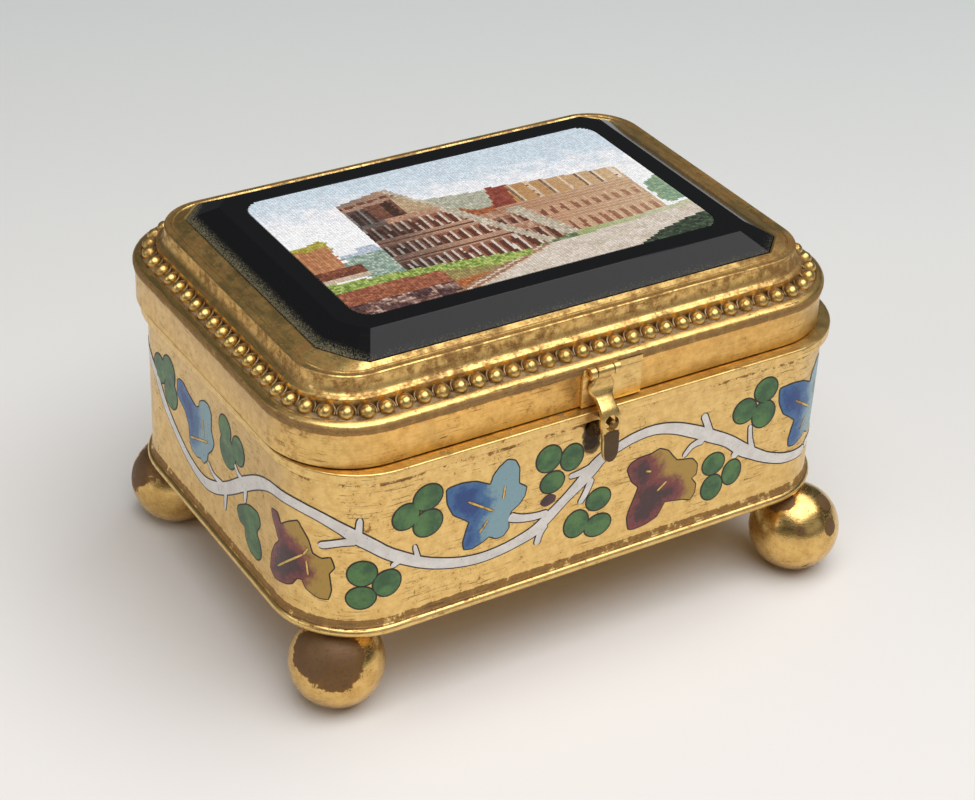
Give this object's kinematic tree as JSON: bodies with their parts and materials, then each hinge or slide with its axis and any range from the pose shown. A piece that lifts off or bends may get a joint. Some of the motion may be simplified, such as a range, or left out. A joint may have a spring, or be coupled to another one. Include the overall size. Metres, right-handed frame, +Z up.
{
  "type": "micromosaic trinket box",
  "caption": "Small gilt-metal trinket box on ball feet, with a hinged lid that holds a bevelled black plaque and a micromosaic picture, and a hasp.",
  "frame": {"origin": "under the middle of the box's outline, on the surface that it stands on", "axes": "+Z up; +X along the long side; -Y is the front with the hasp, +Y the back with the hinge"},
  "size_m": [0.0908, 0.0718, 0.0547],
  "materials": {
    "gilt_metal": "worn gilding",
    "worn_metal": "gilding rubbed through to brown metal",
    "black_stone": "polished",
    "tesserae": "ground and waxed"
  },
  "bodies": {
    "box": {"tub": "gilt_metal", "foot_front_left": "gilt_metal", "foot_front_right": "gilt_metal", "foot_back_left": "gilt_metal", "foot_back_right": "gilt_metal", "catch_stud": "worn_metal", "hinge_leaf_tub": "gilt_metal", "hinge_pin": "worn_metal"},
    "lid": {"lid_frame": "gilt_metal", "bead_border": "gilt_metal", "plaque": "black_stone", "mosaic_panel": "tesserae", "hinge_leaf_lid": "gilt_metal", "hasp_plate": "gilt_metal", "hasp_pin": "worn_metal"},
    "hasp": {"hasp": "worn_metal"}
  },
  "joints": [
    {"name": "lid_hinge", "type": "hinge", "parent": "box", "child": "lid", "pos_m": [0.00015, 0.03461, 0.04047], "axis": [-1, 0, 0], "range_deg": [0, 100]},
    {"name": "hasp_pivot", "type": "hinge", "parent": "lid", "child": "hasp", "pos_m": [-0.00085, -0.03119, 0.0465], "axis": [-1, 0, 0], "range_deg": [0, 100]}
  ]
}
